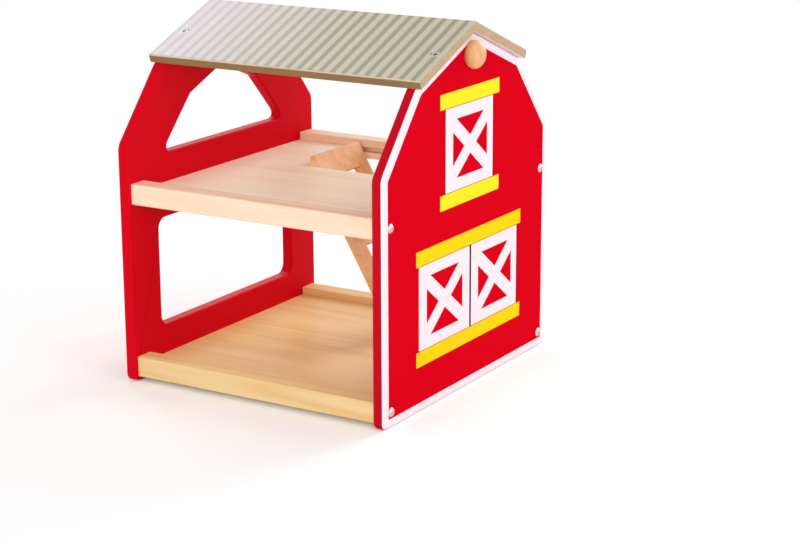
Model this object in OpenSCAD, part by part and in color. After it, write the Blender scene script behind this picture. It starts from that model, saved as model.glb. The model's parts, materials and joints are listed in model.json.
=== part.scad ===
// Toy barn with two floors, a ladder, opening double doors and a loft hatch.
// X runs along the ridge, from the windowed gable to the door gable.
// Y runs from the open front to the open back. Z is up, from the table.

/* [Barn] */
// Clear length between the two gables
inner_length = 202; // [170:1:260]
// Depth of the gables from front to back
barn_depth = 236; // [210:1:300]
// Height of the gables' vertical edges
wall_height = 174; // [160:1:190]
// Half width of the gables at their upper knees
knee_half_width = 72; // [70:1:90]
// Height of the upper knees
knee_height = 228.5; // [220:0.5:245]
// Height of the gables' peaks
peak_height = 257.5; // [252:0.5:290]
// Thickness of the gables and of the doors cut from them
gable_thk = 9; // [8:0.5:14]
// Radius of the gables' outer corners
corner_r = 5; // [1:0.5:10]

/* [Windows] */
// Distance from the gable's vertical edges to the upper window's sill corners
upper_window_margin = 40; // [34:1:50]
// Distance from the gable's upper knees to the upper window's knees, from front to back
upper_window_knee_margin = 30; // [26:1:40]
// Height from the upper window's knees to the gable's upper knees
upper_window_knee_drop = 27.5; // [24:0.5:34]
// Height of the upper window's sill over the upper deck
upper_window_sill = 21.5; // [15:0.5:30]
// Radius of the upper window's corners
upper_window_r = 5; // [2:0.5:8]
// Width of the gable left on each side of the lower window
lower_window_margin = 33; // [25:1:50]
// Height of the lower window's sill over the lower deck
lower_window_sill = 21.5; // [15:0.5:40]
// Width of the gable left between the lower window and the upper rails
lower_window_head = 17; // [8:0.5:30]
// Radius of the lower window's corners
lower_window_r = 8; // [2:0.5:12]

/* [Roof] */
// Thickness of the roof panels
roof_thk = 6; // [4:0.5:9]
// Length of the roof past the windowed gable's outer face
roof_overhang = 2; // [1:0.5:8]
// Length of the roof past the door gable's outer face
door_roof_overhang = 4; // [1:0.5:8]
// Length of the roof past the upper knees, along its slope
eave_overhang = 2; // [0:0.5:8]
// Distance from one printed stripe to the next
stripe_pitch = 9; // [6:0.5:16]
// Width of a printed dark stripe
stripe_w = 4.5; // [2:0.5:5]

/* [Floors] */
// Width of the rails from front to back
rail_w = 15; // [12:0.5:20]
// Height of the rails
rail_h = 15; // [13:0.5:20]
// Distance from the gables' front and back edges in to the rails
rail_setback = 2.7; // [0.5:0.1:10]
// Height of the lower rails over the table
lower_rail_lift = 3.5; // [1:0.5:8]
// Height from the lower rails to the upper rails
floor_spacing = 128.5; // [120:0.5:134]
// Thickness of the two decks
deck_thk = 4; // [3:0.5:5]
// Depth of a deck's top below the rails' top
deck_drop = 5.7; // [4:0.1:7]
// Depth of the grooves that hold the decks
groove_depth = 6; // [3:0.5:8]
// Play on each side of a deck in its grooves
groove_play = 0.1; // [0.05:0.05:0.2]

/* [Ladder] */
// Length of the stairwell, along the ridge
stairwell_length = 86; // [80:1:90]
// Distance from the door gable to the stairwell
stairwell_inset = 59; // [40:1:70]
// Width of the ladder board
ladder_w = 63.5; // [50:0.5:80]
// Thickness of the ladder board
ladder_thk = 7; // [5:0.5:9]
// Rise angle of the ladder
ladder_angle = 60; // [56:1:64]
// Gap between the ladder and the stairwell's sides
ladder_side_gap = 8.5; // [2:0.5:12]
// Height of the ladder's top over the upper deck
ladder_rise = 5.5; // [1:0.5:8]
// Width of the ladder board's two side margins
ladder_margin = 12.5; // [8:0.5:16]
// Distance from the ladder's top end to its first slot
first_slot = 20; // [16:0.5:30]
// Length of a slot, along the ladder
slot_length = 11.5; // [8:0.5:13]
// Width of a rung, along the ladder
rung_w = 8; // [6:0.5:12]

/* [Doors] */
// Width of the double doorway
doorway_w = 144; // [120:1:160]
// Distance of the doorway's middle from the gable's middle, towards the back
doorway_shift = 1; // [-3:0.5:3]
// Height of the doorway
doorway_h = 61; // [40:0.5:70]
// Height of the doorway's sill over the lower deck
door_sill = 30.6; // [18:0.1:36]
// Width of the hatch's opening
hatch_w = 70; // [50:1:72]
// Height of the hatch's opening
hatch_h = 60; // [40:0.5:62]
// Height of the hatch's sill over the upper deck
hatch_sill = 6.5; // [3:0.5:14]
// Gap between a door and the edge of its opening
door_gap = 0.5; // [0.4:0.05:1]
// Gap between the two doors
seam_gap = 2.6; // [1:0.1:3]
// Diameter of the steel hinge pins
pin_d = 2; // [1.5:0.1:3]
// Distance from a pin's axis to the door's outer face and to its hinge edge
pin_inset = 2.5; // [2.2:0.1:4]
// Depth of a pin in the gable past the opening
pin_reach = 8; // [5:0.5:12]
// Radial clearance of a pin in its hole
pin_play = 0.05; // [0.02:0.01:0.1]

/* [Print] */
// Thickness of the printed layers
print_thk = 0.2; // [0.1:0.05:0.4]
// Width of the white border round the door gable
border_w = 6.5; // [4:0.5:10]
// Radius of the border's inner corners
border_r = 1; // [1:0.5:6]
// Width of the white frames printed on the doors
frame_w = 10; // [6:0.5:13]
// Height of the frames' top and bottom members
frame_h = 8.5; // [6:0.5:12]
// Width of the white crosses
cross_w = 10; // [6:0.5:12]
// Rise angle of the white crosses' arms
cross_angle = 37; // [32:1:44]
// Height of the yellow bars over and under the openings
bar_h = 10.7; // [6:0.1:12]
// Length of a yellow bar past each side of the hatch
hatch_bar_over = 7; // [2:0.5:12]
// Length of a yellow bar past each side of the doorway
door_bar_over = 3.5; // [1:0.5:8]

/* [Knob] */
// Diameter of the knob under the door gable's peak
knob_d = 20; // [14:0.5:24]
// Height of the knob off the gable
knob_h = 10.6; // [7:0.1:14]
// Height on the knob of its widest place
knob_waist = 3.5; // [2:0.1:5]
// Distance of the knob's axis below the peak
knob_drop = 16.5; // [15:0.5:24]
// Diameter of the knob's tenon
tenon_d = 8; // [5:0.5:10]
// Length of the knob's tenon in the gable
tenon_length = 6; // [4:0.5:7]

/* [Screws] */
// Diameter of the screws' shanks
shank_d = 3; // [2.5:0.1:3.5]
// Length of a gable screw under its head
gable_screw_length = 28; // [20:1:36]
// Diameter of a gable screw's domed head
gable_head_d = 6.5; // [5:0.5:8]
// Height of a gable screw's domed head
gable_head_h = 1.8; // [1.2:0.1:2.5]
// Length of a roof screw, with its countersunk head
roof_screw_length = 16; // [13:1:18]
// Diameter of a roof screw's countersunk head
roof_head_d = 7.6; // [6:0.1:8.4]
// Distance of the roof screws from the roof's lower edges, along the slope
roof_screw_inset = 35.5; // [10:0.5:36]
// Distance of the roof screws from the gables' middles, towards the door gable
roof_screw_shift = 1.2; // [0:0.1:2]
// Width of the slots of the cross recesses
recess_w = 0.9; // [0.6:0.1:1.2]
// Radial clearance of a screw in its hole
screw_play = 0.05; // [0.02:0.01:0.1]

/* [Hidden] */
$fn = 48;

paint_red = [0.87, 0.03, 0.07];
paint_white = [0.97, 0.94, 0.96];
paint_yellow = [0.98, 0.87, 0.16];
bare_wood = [0.93, 0.79, 0.63];
deck_wood = [0.95, 0.83, 0.71];
ladder_wood = [0.85, 0.63, 0.42];
roof_board = [0.62, 0.48, 0.35];
roof_pale = [0.78, 0.76, 0.71];
roof_dark = [0.64, 0.62, 0.54];
steel = [0.78, 0.79, 0.80];
knob_wood = [0.94, 0.73, 0.51];

// A hair's breadth, by which a cut passes the faces that it opens
cut = 0.01;
// Steps in each rounded corner and in the knob's profile
arc_steps = 6;
knob_steps = 12;

// Places along the ridge, with the origin half way along the whole barn
total_length = roof_overhang + gable_thk + inner_length + gable_thk + knob_h;
left_face = -total_length / 2 + roof_overhang;
left_inner = left_face + gable_thk;
right_inner = left_inner + inner_length;
right_face = right_inner + gable_thk;
half_depth = barn_depth / 2;

// Heights of the floors
upper_rail_lift = lower_rail_lift + floor_spacing;
lower_deck_top = lower_rail_lift + rail_h - deck_drop;
upper_deck_top = upper_rail_lift + rail_h - deck_drop;
rail_y = half_depth - rail_setback - rail_w;

// The roof's slope, from the ridge to an upper knee
roof_angle = atan2(peak_height - knee_height, knee_half_width);
slope_length = norm([knee_half_width, peak_height - knee_height]) + eave_overhang;
roof_length = roof_overhang + gable_thk + inner_length + gable_thk + door_roof_overhang;

// The openings' lower edges, the leaves' lengths, and where the hinge pins stand
door_z = lower_deck_top + door_sill;
hatch_z = upper_deck_top + hatch_sill;
door_length = doorway_w / 2 - door_gap - seam_gap / 2;
hatch_length = hatch_w - 2 * door_gap;
pin_x = right_face - pin_inset;
door_pin_y = doorway_w / 2 - door_gap - pin_inset;
hatch_pin_y = hatch_w / 2 - door_gap - pin_inset;
hatch_pin_top = peak_height - hatch_pin_y * tan(roof_angle) - pin_d;

// The stairwell's edges
stairwell_right = right_inner - stairwell_inset;
stairwell_left = stairwell_right - stairwell_length;
stairwell_depth = ladder_w + 2 * ladder_side_gap;

// The gables' outline, counterclockwise from the bottom front corner
gable_outline = [[-half_depth, 0], [half_depth, 0], [half_depth, wall_height],
                 [knee_half_width, knee_height], [0, peak_height],
                 [-knee_half_width, knee_height], [-half_depth, wall_height]];

// The point where two edges meet after each moves in by a distance
function inset_corner(before, at, after, distance) =
    let (a = (at - before) / norm(at - before),
         b = (after - at) / norm(after - at),
         na = [-a[1], a[0]],
         nb = [-b[1], b[0]])
    at + (na + nb) * distance / (1 + na * nb);

// A counterclockwise outline moved in by a distance
function inset(outline, distance) =
    let (n = len(outline))
    [for (i = [0 : n - 1])
        inset_corner(outline[(i + n - 1) % n], outline[i], outline[(i + 1) % n], distance)];

// The points of one corner rounded to a radius
function round_corner(before, at, after, radius) =
    let (a = (before - at) / norm(before - at),
         b = (after - at) / norm(after - at),
         half_angle = acos(a * b) / 2,
         centre = at + (a + b) / norm(a + b) * radius / sin(half_angle),
         from = at + a * radius / tan(half_angle) - centre,
         to = at + b * radius / tan(half_angle) - centre,
         start = atan2(from[1], from[0]),
         turn = (atan2(to[1], to[0]) - start + 540) % 360 - 180)
    [for (k = [0 : arc_steps])
        centre + radius * [cos(start + turn * k / arc_steps), sin(start + turn * k / arc_steps)]];

// An outline with every corner rounded to a radius
function rounded(outline, radius) =
    let (n = len(outline))
    [for (i = [0 : n - 1])
        each round_corner(outline[(i + n - 1) % n], outline[i], outline[(i + 1) % n], radius)];

// A rectangle's outline, from its lower left corner
function rectangle(left, low, right, high) = [[left, low], [right, low], [right, high], [left, high]];

// Stands a shape drawn in Y and Z at a place along the ridge, with a thickness
module across(x, thickness) {
    translate([x, 0, 0])
        rotate([90, 0, 90])
            linear_extrude(thickness)
                children();
}

module gable_shape() {
    polygon(rounded(gable_outline, corner_r));
}

// The upper window follows the roof over its knees, and narrows towards them from its sill
module upper_window_shape() {
    side = [half_depth - upper_window_margin, upper_deck_top + upper_window_sill];
    knee = [knee_half_width - upper_window_knee_margin, knee_height - upper_window_knee_drop];
    peak = [0, knee[1] + knee[0] * tan(roof_angle)];
    polygon(rounded([[-side[0], side[1]], side, knee, peak, [-knee[0], knee[1]]], upper_window_r));
}

module lower_window_shape() {
    side = half_depth - lower_window_margin;
    sill = lower_deck_top + lower_window_sill;
    head = upper_rail_lift - lower_window_head;
    polygon(rounded(rectangle(-side, sill, side, head), lower_window_r));
}

module doorway_shape() {
    left = doorway_shift - doorway_w / 2;
    polygon(rectangle(left, door_z, left + doorway_w, door_z + doorway_h));
}

// Moves a piece that is drawn about the gable's middle to the doorway's middle
module at_doorway() {
    translate([0, doorway_shift, 0])
        children();
}

module hatchway_shape() {
    polygon(rectangle(-hatch_w / 2, hatch_z, hatch_w / 2, hatch_z + hatch_h));
}

// Puts a copy at each rail's middle, on the front and the back of both floors
module at_rail_ends() {
    for (y = [-1, 1], z = [lower_rail_lift, upper_rail_lift])
        translate([0, y * (rail_y + rail_w / 2), z + rail_h / 2])
            children();
}

// Puts a copy square to a roof slope, where its screws sit in the two gables
module at_roof_screws(side) {
    for (x = [left_face + gable_thk / 2, right_face - gable_thk / 2])
        translate([x + roof_screw_shift, 0, peak_height])
            rotate([-side * roof_angle, 0, 0])
                translate([0, side * (slope_length - roof_screw_inset), roof_thk])
                    children();
}

// Stands the knob's axis out of the door gable, under its peak
module at_knob() {
    translate([right_face, 0, peak_height - knob_drop])
        rotate([0, 90, 0])
            children();
}

module cross_recess(depth) {
    for (turn = [0, 90])
        rotate([0, 0, turn])
            cube([recess_w * 4, recess_w, 2 * depth], center = true);
}

// A screw with a domed head on z = 0, its shank pointing down
module domed_screw() {
    difference() {
        union() {
            translate([0, 0, -gable_screw_length])
                cylinder(d = shank_d, h = gable_screw_length + cut);
            intersection() {
                sphere_r = (pow(gable_head_d / 2, 2) + pow(gable_head_h, 2)) / (2 * gable_head_h);
                translate([0, 0, gable_head_h - sphere_r])
                    sphere(r = sphere_r);
                cylinder(d = gable_head_d, h = gable_head_h * 2);
            }
        }
        translate([0, 0, gable_head_h])
            cross_recess(gable_head_h * 0.6);
    }
}

// A screw with a flat head flush with z = 0, its shank pointing down
module flush_screw() {
    head_h = (roof_head_d - shank_d) / 2;
    difference() {
        union() {
            translate([0, 0, -roof_screw_length])
                cylinder(d = shank_d, h = roof_screw_length - head_h + cut);
            translate([0, 0, -head_h])
                cylinder(d1 = shank_d, d2 = roof_head_d, h = head_h);
        }
        cross_recess(head_h * 0.6);
    }
}

// The hole for a flush screw, with its countersink
module flush_screw_hole() {
    head_h = (roof_head_d - shank_d) / 2;
    translate([0, 0, -roof_screw_length - screw_play])
        cylinder(d = shank_d + 2 * screw_play, h = roof_screw_length);
    translate([0, 0, -head_h])
        cylinder(d1 = shank_d + 2 * screw_play, d2 = roof_head_d + 2 * screw_play, h = head_h + cut);
}

// The holes for the gable screws, from each gable's outer face into the rails
module gable_screw_holes() {
    depth = gable_screw_length + screw_play;
    for (x = [left_face - cut, right_face + cut - depth])
        at_rail_ends()
            translate([x, 0, 0])
                rotate([0, 90, 0])
                    cylinder(d = shank_d + 2 * screw_play, h = depth);
}

module roof_screw_holes() {
    for (side = [-1, 1])
        at_roof_screws(side)
            flush_screw_hole();
}

module left_gable() {
    color(paint_red)
        difference() {
            across(left_face, gable_thk)
                difference() {
                    gable_shape();
                    upper_window_shape();
                    lower_window_shape();
                }
            gable_screw_holes();
            roof_screw_holes();
        }
}

// The holes for the hinge pins, drilled from the bottom edge and from under the roof
module pin_holes() {
    hole_d = pin_d + 2 * pin_play;
    for (side = [-1, 1])
        translate([pin_x, doorway_shift + side * door_pin_y, -cut])
            cylinder(d = hole_d, h = door_z + doorway_h + pin_reach);
    translate([pin_x, hatch_pin_y, hatch_z - pin_reach])
        cylinder(d = hole_d, h = peak_height - hatch_z + pin_reach);
}

module right_gable() {
    color(paint_red)
        difference() {
            across(right_inner, gable_thk)
                difference() {
                    gable_shape();
                    doorway_shape();
                    hatchway_shape();
                }
            gable_screw_holes();
            roof_screw_holes();
            pin_holes();
            at_knob()
                translate([0, 0, -tenon_length])
                    cylinder(d = tenon_d + 2 * screw_play, h = gable_thk);
        }
}

// The white border follows the door gable's whole edge, clear of the screws' heads
module gable_border_print() {
    color(paint_white)
        difference() {
            across(right_face, print_thk)
                difference() {
                    gable_shape();
                    polygon(rounded(inset(gable_outline, border_w), border_r));
                }
            at_rail_ends()
                translate([right_face, 0, 0])
                    rotate([0, 90, 0])
                        cylinder(d = gable_head_d + 2 * screw_play, h = gable_thk, center = true);
        }
}

// Two yellow bars, one over and one under an opening
module bar_pair(width, low, height, over) {
    for (z = [low - bar_h, low + height])
        across(right_face, print_thk)
            translate([-width / 2 - over, z])
                square([width + 2 * over, bar_h]);
}

module door_bar_prints() {
    color(paint_yellow)
        at_doorway()
            bar_pair(doorway_w, door_z, doorway_h, door_bar_over);
}

module hatch_bar_prints() {
    color(paint_yellow)
        difference() {
            bar_pair(hatch_w, hatch_z, hatch_h, hatch_bar_over);
            at_knob()
                cylinder(d = knob_d, h = gable_thk, center = true);
        }
}

// A door leaf seen from above, hinged at the origin, that runs along +Y to its free edge
module leaf_plan(length) {
    difference() {
        union() {
            circle(r = pin_inset);
            translate([-gable_thk + pin_inset, -pin_inset])
                square([gable_thk - pin_inset, pin_inset]);
            translate([-gable_thk + pin_inset, 0])
                square([gable_thk, length - pin_inset]);
        }
        circle(d = pin_d + 2 * pin_play);
    }
}

// The printed layer on a leaf's outer face, seen from above, that wraps its hinge edge
module leaf_skin_plan(length) {
    difference() {
        union() {
            circle(r = pin_inset + print_thk);
            square([pin_inset + print_thk, length - pin_inset]);
        }
        circle(r = pin_inset);
        translate([-gable_thk, -pin_inset - print_thk])
            square([gable_thk, length + print_thk]);
        square([pin_inset, length - pin_inset + cut]);
    }
}

// Sets a plan upright in its opening, with side -1 for a front hinge and 1 for a back hinge
module hang(side, hinge_y, low, height) {
    translate([pin_x, side * hinge_y, low + door_gap])
        mirror([0, side > 0 ? 1 : 0, 0])
            linear_extrude(height - 2 * door_gap)
                children();
}

module front_door() {
    color(paint_red)
        at_doorway()
            hang(-1, door_pin_y, door_z, doorway_h)
                leaf_plan(door_length);
}

module back_door() {
    color(paint_red)
        at_doorway()
            hang(1, door_pin_y, door_z, doorway_h)
                leaf_plan(door_length);
}

module loft_hatch() {
    color(paint_red)
        hang(1, hatch_pin_y, hatch_z, hatch_h)
            leaf_plan(hatch_length);
}

// A frame with a diagonal cross, centred on a leaf of a length and a height
module cross_frame(length, height) {
    inner = [length - 2 * frame_w, height - 2 * frame_h];
    diagonal = [length - frame_w, height - frame_h];
    difference() {
        square([length + 2 * print_thk, height], center = true);
        square(inner, center = true);
    }
    for (tilt = [-1, 1])
        rotate(tilt * cross_angle)
            square([norm(diagonal), cross_w], center = true);
}

// The white print of a leaf, where its frame and cross meet the printed layer
module leaf_print(side, hinge_y, length, low, height) {
    color(paint_white)
        intersection() {
            hang(side, hinge_y, low, height)
                leaf_skin_plan(length);
            across(pin_x - cut, gable_thk)
                translate([side * (hinge_y + pin_inset - length / 2), low + height / 2])
                    cross_frame(length, height - 2 * door_gap);
        }
}

module front_door_print() {
    at_doorway()
        leaf_print(-1, door_pin_y, door_length, door_z, doorway_h);
}

module back_door_print() {
    at_doorway()
        leaf_print(1, door_pin_y, door_length, door_z, doorway_h);
}

module loft_hatch_print() {
    leaf_print(1, hatch_pin_y, hatch_length, hatch_z, hatch_h);
}

module door_pin(side) {
    color(steel)
        translate([pin_x, doorway_shift + side * door_pin_y, cut])
            cylinder(d = pin_d, h = door_z + doorway_h + pin_reach - 2 * cut);
}

module front_door_pin() {
    door_pin(-1);
}

module back_door_pin() {
    door_pin(1);
}

module loft_hatch_pin() {
    low = hatch_z - pin_reach + cut;
    color(steel)
        translate([pin_x, hatch_pin_y, low])
            cylinder(d = pin_d, h = hatch_pin_top - low);
}

// A rail between the gables, with the deck's groove in its inner face
module rail(side, lift) {
    groove_low = rail_h - deck_drop - deck_thk - groove_play;
    color(bare_wood)
        difference() {
            translate([left_inner, side > 0 ? rail_y : -rail_y - rail_w, lift])
                cube([inner_length, rail_w, rail_h]);
            translate([left_inner - cut, side > 0 ? rail_y - cut : -rail_y - groove_depth, lift + groove_low])
                cube([inner_length + 2 * cut, groove_depth + cut, deck_thk + 2 * groove_play]);
            gable_screw_holes();
        }
}

module lower_front_rail() {
    rail(-1, lower_rail_lift);
}

module lower_back_rail() {
    rail(1, lower_rail_lift);
}

module upper_front_rail() {
    rail(-1, upper_rail_lift);
}

module upper_back_rail() {
    rail(1, upper_rail_lift);
}

// A deck between the gables, with its long edges in the rails' grooves
module deck(top) {
    depth = 2 * (rail_y + groove_depth - groove_play);
    translate([left_inner, -depth / 2, top - deck_thk])
        cube([inner_length, depth, deck_thk]);
}

module lower_deck() {
    color(deck_wood)
        deck(lower_deck_top);
}

module upper_deck() {
    color(deck_wood)
        difference() {
            deck(upper_deck_top);
            translate([stairwell_left, rail_y - stairwell_depth, upper_deck_top - 2 * deck_thk])
                cube([stairwell_length, barn_depth, 3 * deck_thk]);
        }
}

// The ladder is one slotted board. Its top end is cut upright to lie against the
// stairwell's edge, and its foot is cut level to stand on the lower deck.
module ladder() {
    rise = upper_deck_top + ladder_rise - lower_deck_top;
    slant = ladder_thk / sin(ladder_angle);
    last_slot = rise / sin(ladder_angle) - slot_length - 2 * rung_w;
    color(ladder_wood)
        translate([stairwell_left, rail_y - ladder_side_gap - ladder_w, lower_deck_top])
            difference() {
                translate([0, ladder_w, 0])
                    rotate([90, 0, 0])
                        linear_extrude(ladder_w)
                            intersection() {
                                polygon([[slant / 2, rise], [-slant / 2, rise],
                                         [rise / tan(ladder_angle) - slant / 2, 0],
                                         [rise / tan(ladder_angle) + slant / 2, 0]]);
                                square([inner_length, rise]);
                            }
                translate([0, 0, rise])
                    rotate([0, ladder_angle, 0])
                        for (x = [first_slot : slot_length + rung_w : last_slot])
                            translate([x, ladder_margin, -ladder_thk])
                                cube([slot_length, ladder_w - 2 * ladder_margin, 2 * ladder_thk]);
            }
}

// A roof panel's profile in Y and Z, mitred at the ridge
module roof_profile(side, low, high) {
    out = [side * cos(roof_angle), -sin(roof_angle)];
    up = [side * sin(roof_angle), cos(roof_angle)];
    ridge = [0, peak_height];
    polygon([ridge + [0, low / cos(roof_angle)], ridge + out * slope_length + up * low,
             ridge + out * slope_length + up * high, ridge + [0, high / cos(roof_angle)]]);
}

module roof(side) {
    color(roof_board)
        difference() {
            across(left_face - roof_overhang, roof_length)
                roof_profile(side, 0, roof_thk);
            roof_screw_holes();
        }
}

module front_roof() {
    roof(-1);
}

module back_roof() {
    roof(1);
}

// Cuts the printed layers clear of the roof screws' heads
module clear_of_roof_screws() {
    difference() {
        children();
        for (side = [-1, 1])
            at_roof_screws(side)
                cylinder(d = roof_head_d + 2 * screw_play, h = roof_thk, center = true);
    }
}

// Where each dark stripe starts, counted from the roof's left end
stripe_starts = [for (x = [stripe_pitch - stripe_w : stripe_pitch : roof_length - stripe_w]) x];

module stripes() {
    for (x = stripe_starts)
        for (side = [-1, 1])
            across(left_face - roof_overhang + x, stripe_w)
                roof_profile(side, roof_thk, roof_thk + print_thk);
}

module roof_print() {
    color(roof_pale)
        clear_of_roof_screws()
            difference() {
                across(left_face - roof_overhang, roof_length)
                    for (side = [-1, 1])
                        roof_profile(side, roof_thk, roof_thk + print_thk);
                stripes();
            }
}

module roof_stripes() {
    color(roof_dark)
        clear_of_roof_screws()
            stripes();
}

// Half of the knob's round profile, from the gable to its tip
function knob_profile() =
    let (top = knob_h - knob_waist,
         first = -asin(knob_waist / top))
    [for (k = [0 : knob_steps])
        let (a = first + (90 - first) * k / knob_steps)
        [knob_d / 2 * cos(a), knob_waist + top * sin(a)]];

module gable_knob() {
    color(knob_wood)
        at_knob() {
            rotate_extrude()
                polygon(concat([[0, 0]], knob_profile()));
            translate([0, 0, -tenon_length + screw_play])
                cylinder(d = tenon_d, h = tenon_length);
        }
}

module left_gable_screws() {
    color(steel)
        at_rail_ends()
            translate([left_face, 0, 0])
                rotate([0, -90, 0])
                    domed_screw();
}

module right_gable_screws() {
    color(steel)
        at_rail_ends()
            translate([right_face, 0, 0])
                rotate([0, 90, 0])
                    domed_screw();
}

module roof_screws() {
    color(steel)
        for (side = [-1, 1])
            at_roof_screws(side)
                flush_screw();
}

left_gable();
right_gable();
gable_border_print();
door_bar_prints();
hatch_bar_prints();
front_door();
back_door();
loft_hatch();
front_door_print();
back_door_print();
loft_hatch_print();
front_door_pin();
back_door_pin();
loft_hatch_pin();
lower_front_rail();
lower_back_rail();
upper_front_rail();
upper_back_rail();
lower_deck();
upper_deck();
ladder();
front_roof();
back_roof();
roof_print();
roof_stripes();
gable_knob();
left_gable_screws();
right_gable_screws();
roof_screws();
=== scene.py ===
import bpy
import json
import math
from mathutils import Matrix, Vector

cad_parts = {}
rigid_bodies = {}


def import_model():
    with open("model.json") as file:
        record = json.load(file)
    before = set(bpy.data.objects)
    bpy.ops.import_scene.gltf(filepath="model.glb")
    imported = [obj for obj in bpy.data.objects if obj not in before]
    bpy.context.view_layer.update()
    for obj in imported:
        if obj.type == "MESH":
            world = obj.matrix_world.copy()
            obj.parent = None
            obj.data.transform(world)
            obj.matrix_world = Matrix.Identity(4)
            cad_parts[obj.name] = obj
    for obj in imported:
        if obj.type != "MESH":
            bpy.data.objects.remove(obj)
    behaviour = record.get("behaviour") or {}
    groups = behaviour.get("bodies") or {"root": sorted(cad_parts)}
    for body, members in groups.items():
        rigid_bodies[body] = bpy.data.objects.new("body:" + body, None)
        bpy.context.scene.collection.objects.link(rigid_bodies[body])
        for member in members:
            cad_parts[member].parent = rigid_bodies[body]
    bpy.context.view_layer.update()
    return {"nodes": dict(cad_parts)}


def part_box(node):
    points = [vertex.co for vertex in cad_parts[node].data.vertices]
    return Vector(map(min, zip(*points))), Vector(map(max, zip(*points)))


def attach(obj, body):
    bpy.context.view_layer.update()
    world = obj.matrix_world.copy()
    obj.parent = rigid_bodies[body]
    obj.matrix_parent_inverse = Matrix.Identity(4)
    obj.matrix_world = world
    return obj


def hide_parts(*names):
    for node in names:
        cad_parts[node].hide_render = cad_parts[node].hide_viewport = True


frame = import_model()
cadNodes = frame["nodes"]
mm = 0.001
past = 10  # how far a cutter reaches past what it cuts, in millimetres
print("toy barn: frame loaded,", len(cadNodes), "nodes")


# Camera and studio
view = {"place": (787.65, -1224.5, 469.3), "yaw": 31.139, "pitch": 15.333, "roll": -0.216, "lens": 91.64}
studio = {"skyStrength": 0.8, "floorColour": (0.94, 0.94, 0.94), "floorGlow": 0.12,
          "whiteFrom": 0.225, "whiteReach": 0.5, "aim": (0, 0, 0.12)}
lamps = {
    "keyLight": {"place": (0.5, -1.6, 0.75), "size": 0.9, "power": 10, "colour": (1, 0.985, 0.96)},
    "backLight": {"place": (0.3, 1.5, 0.75), "size": 0.9, "power": 15, "colour": (1, 0.985, 0.97)},
    "fillLight": {"place": (1.7, -0.35, 0.75), "size": 1.0, "power": 6, "colour": (1, 0.99, 0.98)},
    "sheenLight": {"place": (-1.5, 0.9, 1.6), "size": 0.9, "power": 4, "colour": (0.96, 0.88, 1)},
}

bpy.ops.object.select_all(action="DESELECT")
bpy.ops.object.camera_add(location=[v * mm for v in view["place"]])
camera = bpy.context.object
camera.name = "photoCamera"
turn = (Matrix.Rotation(math.radians(view["yaw"]), 4, "Z")
        @ Matrix.Rotation(math.radians(90 - view["pitch"]), 4, "X")
        @ Matrix.Rotation(math.radians(view["roll"]), 4, "Z"))
camera.rotation_euler = turn.to_euler()
camera.data.sensor_width = 36
camera.data.lens = view["lens"]
camera.data.clip_start = 0.05
bpy.context.scene.camera = camera
bpy.context.scene.view_settings.view_transform = "Standard"


def addLight(name, settings):
    bpy.ops.object.light_add(type="AREA", location=settings["place"])
    lamp = bpy.context.object
    lamp.name = name
    lamp.data.shape = "DISK"
    lamp.data.size = settings["size"]
    lamp.data.energy = settings["power"]
    lamp.data.color = settings["colour"]
    aim = Vector(studio["aim"]) - Vector(settings["place"])
    lamp.rotation_euler = aim.to_track_quat("-Z", "Y").to_euler()


for lampName, lampSettings in lamps.items():
    addLight(lampName, lampSettings)


def seenDirectly(tree):
    # 1 for what the camera sees, itself or in a reflection or through glass
    path = tree.nodes.new("ShaderNodeLightPath")
    first, both = tree.nodes.new("ShaderNodeMath"), tree.nodes.new("ShaderNodeMath")
    first.operation = both.operation = "MAXIMUM"
    tree.links.new(path.outputs["Is Camera Ray"], first.inputs[0])
    tree.links.new(path.outputs["Is Glossy Ray"], first.inputs[1])
    tree.links.new(first.outputs[0], both.inputs[0])
    tree.links.new(path.outputs["Is Transmission Ray"], both.inputs[1])
    return both.outputs[0]


world = bpy.data.worlds.new("whiteStudio")
bpy.context.scene.world = world
world.use_nodes = True
sky = world.node_tree
sky.nodes.clear()
skyOut = sky.nodes.new("ShaderNodeOutputWorld")
softSky = sky.nodes.new("ShaderNodeBackground")
softSky.inputs["Strength"].default_value = studio["skyStrength"]
seenWhite = sky.nodes.new("ShaderNodeBackground")
seenWhite.inputs["Color"].default_value = (1, 1, 1, 1)
seenWhite.inputs["Strength"].default_value = 1
skyMix = sky.nodes.new("ShaderNodeMixShader")
sky.links.new(seenDirectly(sky), skyMix.inputs[0])
sky.links.new(softSky.outputs[0], skyMix.inputs[1])
sky.links.new(seenWhite.outputs[0], skyMix.inputs[2])
sky.links.new(skyMix.outputs[0], skyOut.inputs[0])
print("camera and studio ready")


# Material helpers
def newMaterial(name, roughness=0.5, specular=0.5):
    material = bpy.data.materials.new(name)
    material.use_nodes = True
    tree = material.node_tree
    shader = tree.nodes["Principled BSDF"]
    shader.inputs["Roughness"].default_value = roughness
    shader.inputs["Specular IOR Level"].default_value = specular
    place = tree.nodes.new("ShaderNodeTexCoord")
    return material, tree, shader, place


def link(tree, a, b):
    tree.links.new(a, b)


def mapping(tree, place, scale=(1, 1, 1), turned=(0, 0, 0)):
    node = tree.nodes.new("ShaderNodeMapping")
    node.inputs["Scale"].default_value = scale
    node.inputs["Rotation"].default_value = [math.radians(v) for v in turned]
    link(tree, place.outputs["Object"], node.inputs["Vector"])
    return node.outputs[0]


def noise(tree, vector, scale, detail=3, roughness=0.5, distortion=0.0):
    node = tree.nodes.new("ShaderNodeTexNoise")
    node.inputs["Scale"].default_value = scale
    node.inputs["Detail"].default_value = detail
    node.inputs["Roughness"].default_value = roughness
    node.inputs["Distortion"].default_value = distortion
    link(tree, vector, node.inputs["Vector"])
    return node.outputs["Fac"]


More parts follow.
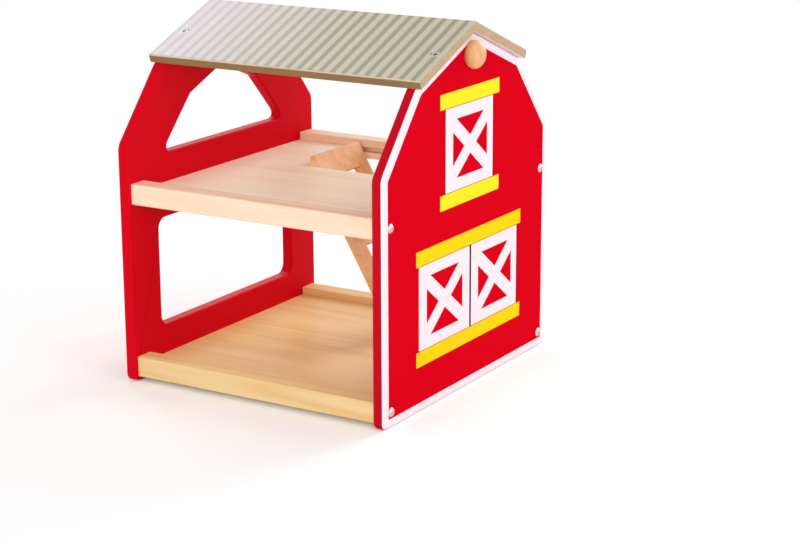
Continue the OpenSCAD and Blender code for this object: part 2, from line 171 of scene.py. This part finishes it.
def ramp(tree, fac, stops, smooth="LINEAR"):
    node = tree.nodes.new("ShaderNodeValToRGB")
    node.color_ramp.interpolation = smooth
    marks = node.color_ramp.elements
    while len(marks) < len(stops):
        marks.new(0.5)
    for mark, (at, colour) in zip(marks, stops):
        mark.position = at
        mark.color = (*colour, 1)
    link(tree, fac, node.inputs["Fac"])
    return node.outputs["Color"]


def feed(tree, value, socket):
    # a link, a plain number or a colour into a socket
    if isinstance(value, bpy.types.NodeSocket):
        link(tree, value, socket)
    else:
        socket.default_value = (*value, 1) if isinstance(value, tuple) else value


def blendColour(tree, fac, a, b, mode="MIX"):
    node = tree.nodes.new("ShaderNodeMix")
    node.data_type = "RGBA"
    node.blend_type = mode
    for value, index in [(fac, 0), (a, 6), (b, 7)]:
        feed(tree, value, node.inputs[index])
    return node.outputs[2]


def calc(tree, operation, a, b=0.0, c=0.0):
    node = tree.nodes.new("ShaderNodeMath")
    node.operation = operation
    for value, socket in zip((a, b, c), node.inputs):
        feed(tree, value, socket)
    return node.outputs[0]


def between(tree, value, low, high):
    # 1 where a value lies between two limits, else 0
    above, below = calc(tree, "GREATER_THAN", value, low), calc(tree, "LESS_THAN", value, high)
    return calc(tree, "MULTIPLY", above, below)


def rising(tree, value, start, length):
    # 0 up to a start, then up to 1 over a length, which is negative for a fall along the axis
    line = calc(tree, "MULTIPLY_ADD", value, 1 / length, -start / length)
    return calc(tree, "MINIMUM", calc(tree, "MAXIMUM", line, 0.0), 1.0)


def normalParts(tree, place):
    split = tree.nodes.new("ShaderNodeSeparateXYZ")
    link(tree, place.outputs["Normal"], split.inputs[0])
    return [split.outputs[axis] for axis in "XYZ"]


def bump(tree, shader, height, strength, depth):
    node = tree.nodes.new("ShaderNodeBump")
    node.inputs["Strength"].default_value = strength
    node.inputs["Distance"].default_value = depth
    link(tree, height, node.inputs["Height"])
    link(tree, node.outputs[0], shader.inputs["Normal"])


def srgb(colour):
    return tuple(v / 12.92 / 255 if v <= 10.3 else ((v / 255 + 0.055) / 1.055) ** 2.4 for v in colour)


# Paints
paints = {
    "red": ((0.675, 0.0022, 0.0120), (0.640, 0.0019, 0.0110)),
    "white": ((0.96, 0.81, 0.87), (0.93, 0.77, 0.82)),
    "lemon": ((0.93, 0.80, 0.026), (0.92, 0.76, 0.020)),
    "yellow": ((0.93, 0.66, 0.008), (0.92, 0.62, 0.007)),
}
gloss = {"leftCoat": 0.7, "rightCoat": 0.2, "sillShare": 0.5, "edgeFrom": 0.12, "edgeTo": 0.97,
         "sillFrom": 0.85, "roughness": 0.25}
# Painted shade: darker reds for faces that look to the front or back, deep for the door leaves, milder for
# the right gable.
paintedShadeEdges = {"from": 0.7, "doors": (0.20, 0.0015, 0.008), "doorGable": (0.52, 0.006, 0.018)}


def paint(name, colour, deeper, coat=0.0, paintedShadeEdge=None, roughness=0.38, specular=0.005):
    # Sprayed paint: faint orange peel, and a slow change of depth over a hand's width.
    material, tree, shader, place = newMaterial(name, roughness, specular)
    cloud = noise(tree, mapping(tree, place), 14, 4, 0.55)
    speck = noise(tree, mapping(tree, place), 420, 2)
    tone = blendColour(tree, calc(tree, "MULTIPLY", cloud, 0.55), colour, deeper)
    alongRidge, sideways, upwards = normalParts(tree, place)
    if paintedShadeEdge:
        # Faces that look to the front or back are painted darker as painted shade: deep on the door leaves'
        # sides in the seams, milder on the right gable's front and back edges and jambs.
        edge = calc(tree, "GREATER_THAN", calc(tree, "ABSOLUTE", sideways), paintedShadeEdges["from"])
        tone = blendColour(tree, edge, tone, paintedShadeEdge)
    link(tree, tone, shader.inputs["Base Color"])
    if coat:
        # The gloss shows on the outer rounded edges and, fainter, on the sills.
        outwards = calc(tree, "MULTIPLY", alongRidge, -1.0)
        rounded = between(tree, outwards, gloss["edgeFrom"], gloss["edgeTo"])
        onSill = calc(tree, "GREATER_THAN", upwards, gloss["sillFrom"])
        shining = calc(tree, "MAXIMUM", rounded, calc(tree, "MULTIPLY", onSill, gloss["sillShare"]))
        link(tree, calc(tree, "MULTIPLY", shining, coat), shader.inputs["Coat Weight"])
        shader.inputs["Coat Roughness"].default_value = gloss["roughness"]
    bump(tree, shader, speck, 0.12, 0.0002)
    return material


redPaint = paint("redPaint", *paints["red"], coat=gloss["leftCoat"], specular=0.02)
doorGableRed = paint("doorGableRed", *paints["red"], coat=gloss["rightCoat"], paintedShadeEdge=paintedShadeEdges["doorGable"],
                     specular=0)
doorPaint = paint("doorPaint", *paints["red"], paintedShadeEdge=paintedShadeEdges["doors"], specular=0)
whitePaint = paint("whitePaint", *paints["white"])
lemonPaint = paint("lemonPaint", *paints["lemon"])
yellowPaint = paint("yellowPaint", *paints["yellow"])


# Woods
woods = {
    "railWood": {"grain": "X", "figureScale": 55, "roughness": 0.55, "specular": 0.15, "streaks": 0.35,
                 "dark": (240, 198, 158), "middle": (250, 220, 188), "light": (253, 230, 203),
                 "blush": (251, 208, 186), "streak": (0.88, 0.78, 0.68)},
    # The lower rails and the lower deck take their own darker, yellower wood: the yellower tone is the
    # board's own, the darkening is painted shade of the lower room.
    "shadedLowRailWood": {"grain": "X", "figureScale": 60, "roughness": 0.55, "specular": 0.15, "streaks": 0.35,
                    "dark": (230, 188, 126), "middle": (240, 208, 150), "light": (246, 220, 170),
                    "blush": (236, 196, 142), "streak": (0.88, 0.78, 0.66)},
    "deckWood": {"grain": "X", "figureScale": 38, "roughness": 0.4, "specular": 0.2, "streaks": 0.3,
                 "dark": (246, 222, 184), "middle": (252, 240, 214), "light": (254, 246, 226),
                 "blush": (251, 236, 210), "streak": (0.92, 0.86, 0.78)},
    "shadedLowDeckWood": {"grain": "X", "figureScale": 42, "roughness": 0.4, "specular": 0.2, "streaks": 0.35,
                    "dark": (228, 190, 126), "middle": (240, 210, 150), "light": (248, 222, 172),
                    "blush": (236, 202, 146), "streak": (0.88, 0.78, 0.66)},
    "ladderWood": {"grain": "X", "figureScale": 50, "roughness": 0.6, "specular": 0.3, "streaks": 0.5,
                   "dark": (226, 170, 112), "middle": (246, 196, 140), "light": (252, 212, 162),
                   "blush": (232, 172, 124), "streak": (0.84, 0.72, 0.60), "turned": (0, 60, 0)},
    "knobWood": {"grain": "Z", "figureScale": 70, "roughness": 0.45, "specular": 0.25, "streaks": 0.4,
                 "dark": (208, 150, 94), "middle": (230, 180, 128), "light": (242, 202, 158),
                 "blush": (226, 172, 118), "streak": (0.86, 0.72, 0.60)},
}


def wood(name, settings):
    # Planed timber: long figure, fine fibres and pores, all drawn out along the grain.
    material, tree, shader, place = newMaterial(name, settings["roughness"], settings["specular"])
    turned = settings.get("turned", (0, 0, 0))
    stretch = [0.06 if axis == settings["grain"] else 1 for axis in "XYZ"]
    fine = [0.02 if axis == settings["grain"] else 1 for axis in "XYZ"]
    figure = noise(tree, mapping(tree, place, stretch, turned), settings["figureScale"], 5, 0.55, 1.4)
    fibres = noise(tree, mapping(tree, place, fine, turned), 900, 3, 0.6)
    blotch = noise(tree, mapping(tree, place), 18, 2, 0.5)
    base = ramp(tree, figure, [(0.30, srgb(settings["dark"])), (0.48, srgb(settings["middle"])),
                               (0.68, srgb(settings["light"]))])
    warm = blendColour(tree, calc(tree, "MULTIPLY", blotch, 0.5), base, srgb(settings["blush"]))
    streak = ramp(tree, fibres, [(0.34, settings["streak"]), (0.5, (1, 1, 1))])
    final = blendColour(tree, settings["streaks"], warm, streak, "MULTIPLY")
    link(tree, final, shader.inputs["Base Color"])
    bump(tree, shader, fibres, 0.25, 0.0002)
    return material


railWood, shadedLowRailWood, deckWood, shadedLowDeckWood, ladderWood, knobWood = (
    wood(name, settings) for name, settings in woods.items())


# Roof board, roof print and steel
# Board tones: line is a painted shadow line, the down-facing cut-face tone is painted shade, and top is a
# painted highlight on the rounded upper edge.
boardTonesAndShade = {"skin": (235, 228, 228), "line": (112, 86, 60), "under": (150, 120, 84), "end": (197, 171, 138),
              "top": (232, 210, 196)}
stripes = {"pitch": 0.00912, "start": -0.11295, "sheenFrom": 0.010, "sheenLength": 0.115,
           "clear": ((147, 143, 108), (174, 170, 138), (195, 190, 168)),
           "paintedSheen": ((202, 193, 194), (213, 204, 206), (222, 213, 216))}
steelTones = {"roof": ((150, 152, 146), (188, 190, 184)), "gable": ((206, 182, 180), (230, 208, 206))}


def shadedFibreboard(name, tones):
    # Pressed board: short fuzzy fibres. Cut faces that look down are painted darker as painted shade, with a
    # painted shadow line where they turn from the underside; the underside keeps the pale skin of the sheet,
    # and the rounded upper edge is painted lighter as a painted highlight.
    material, tree, shader, place = newMaterial(name, 0.75, 0.1)
    height = calc(tree, "MULTIPLY_ADD", normalParts(tree, place)[2], 0.5, 0.5)
    skin, line, under, end, top = (srgb(tones[key]) for key in ("skin", "line", "under", "end", "top"))
    # Painted light: the tone follows which way a face looks, darker downwards and lighter upwards.
    tone = ramp(tree, height, [(0.08, skin), (0.12, line), (0.22, line), (0.30, under), (0.36, under),
                               (0.46, end), (0.56, end), (0.72, top)])
    grains = noise(tree, mapping(tree, place), 1300, 4, 0.7)
    patches = noise(tree, mapping(tree, place, (0.4, 1, 1)), 90, 3)
    speckle = ramp(tree, grains, [(0.30, (0.80, 0.77, 0.72)), (0.62, (1, 1, 1))])
    cloudy = ramp(tree, patches, [(0.35, (0.88, 0.86, 0.84)), (0.60, (1, 1, 1))])
    final = blendColour(tree, 0.6, blendColour(tree, 0.7, tone, speckle, "MULTIPLY"), cloudy, "MULTIPLY")
    link(tree, final, shader.inputs["Base Color"])
    bump(tree, shader, grains, 0.3, 0.0002)
    return material


def roofPrint(name, settings):
    # Printed corrugation: soft dark and light bands, which turn paler and pinker towards the windowed gable
    # as a painted sheen, with thin fibres down the slope.
    material, tree, shader, place = newMaterial(name, 0.34, 0.5)
    split = tree.nodes.new("ShaderNodeSeparateXYZ")
    link(tree, place.outputs["Object"], split.inputs[0])
    alongRidge = split.outputs["X"]
    phase = calc(tree, "MULTIPLY", calc(tree, "SUBTRACT", alongRidge, settings["start"]),
                 2 * math.pi / settings["pitch"])
    wave = calc(tree, "MULTIPLY_ADD", calc(tree, "SINE", phase), 0.5, 0.5)
    clear, paintedSheen = (ramp(tree, wave, list(zip((0.12, 0.42, 0.70), map(srgb, settings[key]))), "EASE")
                    for key in ("clear", "paintedSheen"))
    # Painted sheen: the bands blend into the paler, pinker set towards the windowed gable.
    bands = blendColour(tree, rising(tree, alongRidge, settings["sheenFrom"], -settings["sheenLength"]),
                        clear, paintedSheen)
    fibres = noise(tree, mapping(tree, place, (1, 0.03, 0.03)), 1500, 3, 0.65)
    streak = ramp(tree, fibres, [(0.36, (0.86, 0.86, 0.84)), (0.56, (1, 1, 1))])
    final = blendColour(tree, 0.55, bands, streak, "MULTIPLY")
    link(tree, final, shader.inputs["Base Color"])
    bump(tree, shader, fibres, 0.12, 0.0001)
    return material


def steel(name, roughness, tones):
    # Zinc-plated steel with faint turning marks.
    material, tree, shader, place = newMaterial(name, roughness, 0.5)
    shader.inputs["Metallic"].default_value = 1
    marks = noise(tree, mapping(tree, place), 1600, 2)
    tone = ramp(tree, marks, [(0.3, srgb(tones[0])), (0.7, srgb(tones[1]))])
    link(tree, tone, shader.inputs["Base Color"])
    bump(tree, shader, marks, 0.05, 0.00005)
    return material


roofBoard = shadedFibreboard("roofBoard", boardTonesAndShade)
roofStripes = roofPrint("roofStripes", stripes)
screwSteel = steel("screwSteel", 0.35, steelTones["roof"])
gableScrewSteel = steel("gableScrewSteel", 0.42, steelTones["gable"])
print("materials ready")


# Modelling helpers
def addBlock(name, low, high):
    bpy.ops.object.select_all(action="DESELECT")
    bpy.ops.mesh.primitive_cube_add(size=1, location=[(a + b) / 2 * mm for a, b in zip(low, high)],
                                    scale=[(b - a) * mm for a, b in zip(low, high)])
    piece = bpy.context.object
    piece.name = name
    piece.data.name = name
    bpy.ops.object.transform_apply(location=True, rotation=True, scale=True)
    return piece


def onlyActive(piece):
    bpy.ops.object.select_all(action="DESELECT")
    bpy.context.view_layer.objects.active = piece
    piece.select_set(True)


def trim(piece, point, normal):
    # cuts off what lies past a plane, and closes the cut
    onlyActive(piece)
    bpy.ops.object.mode_set(mode="EDIT")
    bpy.ops.mesh.select_all(action="SELECT")
    bpy.ops.mesh.bisect(plane_co=[v * mm for v in point], plane_no=normal, use_fill=True, clear_outer=True)
    bpy.ops.object.mode_set(mode="OBJECT")


def bevelPicked(piece, pick, width, segments):
    # rounds the edges that pick chooses from their two ends, in millimetres
    onlyActive(piece)
    bpy.ops.object.mode_set(mode="EDIT")
    bpy.ops.mesh.select_mode(type="EDGE")
    bpy.ops.mesh.select_all(action="DESELECT")
    bpy.ops.object.mode_set(mode="OBJECT")
    for edge in piece.data.edges:
        a, b = (piece.data.vertices[i].co / mm for i in edge.vertices)
        edge.select = bool(pick(a, b))
    bpy.ops.object.mode_set(mode="EDIT")
    bpy.ops.mesh.bevel(offset=width * mm, segments=segments, profile=0.5, affect="EDGES", clamp_overlap=True)
    bpy.ops.object.mode_set(mode="OBJECT")


def alongX(a, b):
    return abs(a.y - b.y) < 0.01 and abs(a.z - b.z) < 0.01


def cutOut(piece, cutter):
    onlyActive(piece)
    modifier = piece.modifiers.new("cutOut", "BOOLEAN")
    modifier.operation = "DIFFERENCE"
    modifier.object = cutter
    modifier.solver = "EXACT"
    bpy.ops.object.modifier_apply(modifier="cutOut")
    bpy.data.objects.remove(cutter)


def easeEdges(piece, width, segments=3, angle=50):
    onlyActive(piece)
    modifier = piece.modifiers.new("easedEdges", "BEVEL")
    modifier.width = width * mm
    modifier.segments = segments
    modifier.limit_method = "ANGLE"
    modifier.angle_limit = math.radians(angle)
    bpy.ops.object.modifier_apply(modifier="easedEdges")


def smoothByAngle(piece, angle):
    onlyActive(piece)
    bpy.ops.object.shade_smooth_by_angle(angle=math.radians(angle))


def smooth(piece, angle=35):
    smoothByAngle(piece, angle)
    modifier = piece.modifiers.new("flatFaces", "WEIGHTED_NORMAL")
    modifier.keep_sharp = True
    modifier.weight = 80
    bpy.ops.object.modifier_apply(modifier="flatFaces")


def finishPiece(piece, body, slotName, material, *replaced):
    piece.data.materials.clear()
    piece.data.materials.append(material)
    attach(piece, body)
    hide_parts(*replaced)


def copyNode(nodeName, pieceName):
    # a merged copy of a frame node, for edges and shading that the frame leaves plain
    onlyActive(cadNodes[nodeName])
    bpy.ops.object.duplicate()
    piece = bpy.context.object
    for key in list(piece.keys()):
        del piece[key]
    bpy.ops.object.parent_clear(type="CLEAR_KEEP_TRANSFORM")
    piece.name = pieceName
    piece.data.name = pieceName
    bpy.ops.object.mode_set(mode="EDIT")
    bpy.ops.mesh.select_all(action="SELECT")
    bpy.ops.mesh.remove_doubles(threshold=0.000005)
    bpy.ops.mesh.dissolve_limited(angle_limit=math.radians(0.3))
    bpy.ops.object.mode_set(mode="OBJECT")
    return piece


def dressNode(nodeName, material):
    node = cadNodes[nodeName]
    if not node.material_slots:
        node.data.materials.append(material)
    for holder in node.material_slots:
        holder.material = material


# Gables
leftBox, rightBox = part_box("left_gable"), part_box("right_gable")
barn = {"halfDepth": 118, "wallHeight": 174, "kneeHalf": 72, "kneeHeight": 228.5, "peak": 257.5,
        "leftFace": leftBox[0][0] / mm, "leftInner": leftBox[1][0] / mm,
        "rightInner": rightBox[0][0] / mm, "rightFace": rightBox[1][0] / mm}
gable = {"footRadius": 5, "kneeRound": 3.6, "edgeRadius": 2.2}
upperWindow = {"sillHalf": 78, "sill": 162.8, "kneeHalf": 42, "kneeHeight": 201, "peak": 217.92,
               "sillRound": 11.58, "kneeRound": 1.1, "peakRound": 2.01}
lowerWindow = {"half": 85, "sill": 34.3, "head": 115, "radius": 8}
doorway = {"front": -71, "back": 73, "sill": 43.4, "head": 104.4}
hatchway = {"front": -35, "back": 35, "sill": 147.8, "head": 207.8}


def trimSlopes(block, corners, inset=0.0):
    # cuts a block down to the slopes between corners in Y and Z, on its front and its back
    for low, high in zip(corners, corners[1:]):
        run = Vector((high[0] - low[0], high[1] - low[1]))
        out = Vector((run.y, -run.x)).normalized()
        for mirrored in (1, -1):
            trim(block, (0, mirrored * (low[0] - out.x * inset), low[1] - out.y * inset),
                 (0, mirrored * out.x, out.y))


def gablePrism(name, left, right, inset=0.0):
    # the gambrel outline as a block, with all its edges moved in by a distance
    side = barn["halfDepth"] - inset
    block = addBlock(name, (left, -side, inset), (right, side, barn["peak"] + past))
    trimSlopes(block, [(barn["halfDepth"], barn["wallHeight"]), (barn["kneeHalf"], barn["kneeHeight"]),
                       (0, barn["peak"])], inset)
    return block


def addGable(name, left, right):
    panel = gablePrism(name, left, right)
    bevelPicked(panel, lambda a, b: alongX(a, b) and a.z < past, gable["footRadius"], 8)
    bevelPicked(panel, lambda a, b: alongX(a, b) and a.z > barn["wallHeight"] - past, gable["kneeRound"], 6)
    return panel


def holeInLeft(name, half, low, high):
    return addBlock(name, (barn["leftFace"] - past, -half, low), (barn["leftInner"] + past, half, high))


def holeInRight(name, hole):
    return addBlock(name, (barn["rightInner"] - past, hole["front"], hole["sill"]),
                    (barn["rightFace"] + past, hole["back"], hole["head"]))


leftPanel = addGable("leftGablePanel", barn["leftFace"], barn["leftInner"])
upperHole = holeInLeft("upperHole", upperWindow["sillHalf"] + past, upperWindow["sill"],
                       upperWindow["peak"] + past)
trimSlopes(upperHole, [(upperWindow["sillHalf"], upperWindow["sill"]),
                       (upperWindow["kneeHalf"], upperWindow["kneeHeight"]), (0, upperWindow["peak"])])
for height, width, segments in [(upperWindow["sill"], upperWindow["sillRound"], 12),
                                (upperWindow["kneeHeight"], upperWindow["kneeRound"], 5),
                                (upperWindow["peak"], upperWindow["peakRound"], 6)]:
    bevelPicked(upperHole, lambda a, b: alongX(a, b) and abs(a.z - height) < 2, width, segments)
cutOut(leftPanel, upperHole)
lowerHole = holeInLeft("lowerHole", lowerWindow["half"], lowerWindow["sill"], lowerWindow["head"])
bevelPicked(lowerHole, alongX, lowerWindow["radius"], 8)
cutOut(leftPanel, lowerHole)
easeEdges(leftPanel, gable["edgeRadius"], 4)
smooth(leftPanel)
finishPiece(leftPanel, "barn", "gable_paint", redPaint, "left_gable")

rightPanel = addGable("rightGablePanel", barn["rightInner"], barn["rightFace"])
easeEdges(rightPanel, gable["edgeRadius"], 4)
cutOut(rightPanel, holeInRight("doorHole", doorway))
cutOut(rightPanel, holeInRight("hatchHole", hatchway))
smooth(rightPanel)
finishPiece(rightPanel, "barn", "gable_paint", doorGableRed, "right_gable")

# The white border turns over the rounded edge of the panel. The band starts deeper than
# its rounding needs, and is trimmed to its wrap afterwards.
border = {"width": 6.5, "innerRadius": 1, "proud": 0.2, "wrap": 1.35, "startDepth": 2.4, "rounding": 2.1}
borderBand = addGable("borderBand", barn["rightFace"] - border["startDepth"],
                      barn["rightFace"] + border["proud"])
bevelPicked(borderBand, lambda a, b: min(a.x, b.x) > barn["rightFace"], border["rounding"], 5)
trim(borderBand, (barn["rightFace"] - border["wrap"], 0, 0), (-1, 0, 0))
innerField = gablePrism("innerField", barn["rightFace"] - past, barn["rightFace"] + past, border["width"])
bevelPicked(innerField, alongX, border["innerRadius"], 6)
cutOut(borderBand, innerField)
smooth(borderBand)
finishPiece(borderBand, "barn", "white_print", whitePaint, "gable_border_print")
print("gables ready")


# Doors, pins and prints
for nodeName, material in [("door_bar_prints", yellowPaint), ("hatch_bar_prints", lemonPaint),
                           ("front_door_print", whitePaint), ("back_door_print", whitePaint),
                           ("loft_hatch_print", whitePaint)]:
    dressNode(nodeName, material)

for nodeName, pieceName, body in [("front_door", "frontDoorLeaf", "front_door_leaf"),
                                  ("back_door", "backDoorLeaf", "back_door_leaf"),
                                  ("loft_hatch", "loftHatchLeaf", "loft_hatch_leaf")]:
    leaf = copyNode(nodeName, pieceName)
    smooth(leaf)
    finishPiece(leaf, body, "gable_paint", doorPaint, nodeName)
for nodeName in ("front_door_pin", "back_door_pin", "loft_hatch_pin"):
    dressNode(nodeName, screwSteel)
print("doors ready")


# Rails, decks and ladder
rail = {"width": 15, "height": 15, "inner": 100.3, "lowLift": 3.5, "highLift": 132, "edge": 0.9,
        "grooveLow": 5.2, "grooveHigh": 9.4, "grooveDepth": 6}
deck = {"thickness": 4, "half": 106.2, "lowerTop": 12.8, "upperTop": 141.3, "edge": 0.3}
stairwell = {"inset": 59, "length": 86, "front": 19.8}


def addRail(pieceName, nodeName, lift, side, material):
    ys = sorted((side * rail["inner"], side * (rail["inner"] + rail["width"])))
    strip = addBlock(pieceName, (barn["leftInner"], ys[0], lift),
                     (barn["rightInner"], ys[1], lift + rail["height"]))
    bevelPicked(strip, alongX, rail["edge"], 4)
    mouth = sorted((side * (rail["inner"] - past), side * (rail["inner"] + rail["grooveDepth"])))
    cutOut(strip, addBlock("groove", (barn["leftInner"] - past, mouth[0], lift + rail["grooveLow"]),
                           (barn["rightInner"] + past, mouth[1], lift + rail["grooveHigh"])))
    smooth(strip)
    finishPiece(strip, "barn", "bare_wood", material, nodeName)


def addDeck(pieceName, nodeName, top, material, hole=None):
    bottom = top - deck["thickness"]
    board = addBlock(pieceName, (barn["leftInner"], -deck["half"], bottom),
                     (barn["rightInner"], deck["half"], top))
    if hole:
        right = barn["rightInner"] - hole["inset"]
        cutOut(board, addBlock("stairwell", (right - hole["length"], hole["front"], bottom - past),
                               (right, deck["half"] + past, top + past)))
    easeEdges(board, deck["edge"], 2)
    smooth(board)
    finishPiece(board, "barn", "deck_wood", material, nodeName)


addRail("lowerFrontRail", "lower_front_rail", rail["lowLift"], -1, shadedLowRailWood)
addRail("lowerBackRail", "lower_back_rail", rail["lowLift"], 1, shadedLowRailWood)
addRail("upperFrontRail", "upper_front_rail", rail["highLift"], -1, railWood)
addRail("upperBackRail", "upper_back_rail", rail["highLift"], 1, railWood)
addDeck("lowerDeckBoard", "lower_deck", deck["lowerTop"], shadedLowDeckWood)
addDeck("upperDeckBoard", "upper_deck", deck["upperTop"], deckWood, stairwell)

ladder = {"edge": 0.6}
ladderBoard = copyNode("ladder", "ladderBoard")
easeEdges(ladderBoard, ladder["edge"], 3, 25)
smooth(ladderBoard)
finishPiece(ladderBoard, "barn", "ladder_wood", ladderWood, "ladder")
print("rails, decks and ladder ready")


# Roof
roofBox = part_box("front_roof")
rise = barn["peak"] - barn["kneeHeight"]
roof = {"overhang": 2, "thickness": 6, "left": roofBox[0][0] / mm, "right": roofBox[1][0] / mm, "edge": 0.4,
        "eaveRound": 1.0, "sheet": 0.2, "sheetSunk": 0.05, "screwInset": 35.5, "screwShift": 1.2,
        "headWidth": 7.7, "headDepth": 4}
slope = math.hypot(barn["kneeHalf"], rise) + roof["overhang"]
tilt = math.atan2(rise, barn["kneeHalf"])
ridge = Vector((0, 0, barn["peak"]))
screwPlaces = [(barn["leftFace"] + barn["leftInner"]) / 2 + roof["screwShift"],
               (barn["rightInner"] + barn["rightFace"]) / 2 + roof["screwShift"]]


def addRoofPanel(pieceName, nodeName, eave):
    panel = copyNode(nodeName, pieceName)
    bevelPicked(panel, lambda a, b: alongX(a, b) and abs(a.y - eave.y) < 0.1 and abs(a.z - eave.z) < 0.1,
                roof["eaveRound"], 4)
    easeEdges(panel, roof["edge"], 2, 40)
    smooth(panel)
    for vertex in panel.data.vertices:
        vertex.co.x = min(max(vertex.co.x, roof["left"] * mm), roof["right"] * mm)
    finishPiece(panel, "barn", "roof_board", roofBoard, nodeName)


def addRoofSheet(pieceName, side, down, up):
    # A unit block is laid on the slope by its corners, then cut at the ridge's middle plane.
    sheet = addBlock(pieceName, (roof["left"] + roof["edge"], -1, 0), (roof["right"] - roof["edge"], 1, 1))
    eaveEnd = ridge + down * (slope - roof["eaveRound"])
    for vertex in sheet.data.vertices:
        end = eaveEnd if vertex.co.y > 0 else ridge - down * past
        level = roof["thickness"] + (roof["sheet"] if vertex.co.z > 0.5 * mm else -roof["sheetSunk"])
        spot = end + up * level
        vertex.co = Vector((vertex.co.x, spot.y * mm, spot.z * mm))
    onlyActive(sheet)
    bpy.ops.object.mode_set(mode="EDIT")
    bpy.ops.mesh.select_all(action="SELECT")
    bpy.ops.mesh.normals_make_consistent(inside=False)
    bpy.ops.object.mode_set(mode="OBJECT")
    trim(sheet, (0, 0, 0), (0, -side, 0))
    spot = ridge + down * (slope - roof["screwInset"]) + up * roof["thickness"]
    for x in screwPlaces:
        bpy.ops.object.select_all(action="DESELECT")
        bpy.ops.mesh.primitive_cylinder_add(vertices=40, radius=roof["headWidth"] / 2 * mm,
                                            depth=roof["headDepth"] * mm, rotation=(-side * tilt, 0, 0),
                                            location=(x * mm, spot.y * mm, spot.z * mm))
        cutOut(sheet, bpy.context.object)
    finishPiece(sheet, "barn", "roof_print_light", roofStripes, "roof_print", "roof_stripes")


for side, panelName, sheetName, nodeName in [(-1, "frontRoofPanel", "frontRoofSheet", "front_roof"),
                                             (1, "backRoofPanel", "backRoofSheet", "back_roof")]:
    down = Vector((0, side * math.cos(tilt), -math.sin(tilt)))
    up = Vector((0, side * math.sin(tilt), math.cos(tilt)))
    addRoofPanel(panelName, nodeName, ridge + down * slope + up * roof["thickness"])
    addRoofSheet(sheetName, side, down, up)
print("roof ready")


# Knob and screws
knob = {"radius": 10, "height": 10.6, "waist": 3.5, "drop": 16.5}
bpy.ops.object.select_all(action="DESELECT")
bpy.ops.mesh.primitive_uv_sphere_add(
    segments=64, ring_count=40, radius=knob["radius"] * mm, rotation=(0, math.pi / 2, 0),
    location=((barn["rightFace"] + knob["waist"]) * mm, 0, (barn["peak"] - knob["drop"]) * mm),
    scale=(1, 1, (knob["height"] - knob["waist"]) / knob["radius"]))
turnedKnob = bpy.context.object
turnedKnob.name = "turnedKnob"
bpy.ops.object.transform_apply(location=True, rotation=True, scale=True)
trim(turnedKnob, (barn["rightFace"], 0, 0), (-1, 0, 0))
smoothByAngle(turnedKnob, 40)
finishPiece(turnedKnob, "barn", "knob_wood", knobWood, "gable_knob")

for nodeName, pieceName, material in [("left_gable_screws", "leftGableScrews", gableScrewSteel),
                                      ("right_gable_screws", "rightGableScrews", gableScrewSteel),
                                      ("roof_screws", "roofScrews", screwSteel)]:
    screws = copyNode(nodeName, pieceName)
    smoothByAngle(screws, 32)
    finishPiece(screws, "barn", "screw_steel", material, nodeName)
print("knob and screws ready")


# Floor: it takes the shadow near the barn, and turns plain white further away
bpy.ops.object.select_all(action="DESELECT")
bpy.ops.mesh.primitive_plane_add(size=30, location=(0, 0, -0.0002))
floor = bpy.context.object
floor.name = "studioFloor"
floorMaterial, floorTree, floorShader, floorPlace = newMaterial("studioFloor", 0.9, 0.0)
floorShader.inputs["Base Color"].default_value = (*studio["floorColour"], 1)
reach = floorTree.nodes.new("ShaderNodeVectorMath")
reach.operation = "LENGTH"
link(floorTree, floorPlace.outputs["Object"], reach.inputs[0])
seenFloor = seenDirectly(floorTree)
far = rising(floorTree, reach.outputs["Value"], studio["whiteFrom"], studio["whiteReach"])
glow = calc(floorTree, "MULTIPLY", seenFloor, studio["floorGlow"])
link(floorTree, glow, floorShader.inputs["Emission Strength"])
floorShader.inputs["Emission Color"].default_value = (1, 1, 1, 1)
plainWhite = floorTree.nodes.new("ShaderNodeEmission")
floorMix = floorTree.nodes.new("ShaderNodeMixShader")
link(floorTree, calc(floorTree, "MULTIPLY", seenFloor, far), floorMix.inputs[0])
link(floorTree, floorShader.outputs[0], floorMix.inputs[1])
link(floorTree, plainWhite.outputs[0], floorMix.inputs[2])
link(floorTree, floorMix.outputs[0], floorTree.nodes["Material Output"].inputs["Surface"])
floor.data.materials.append(floorMaterial)

print("toy barn finished")
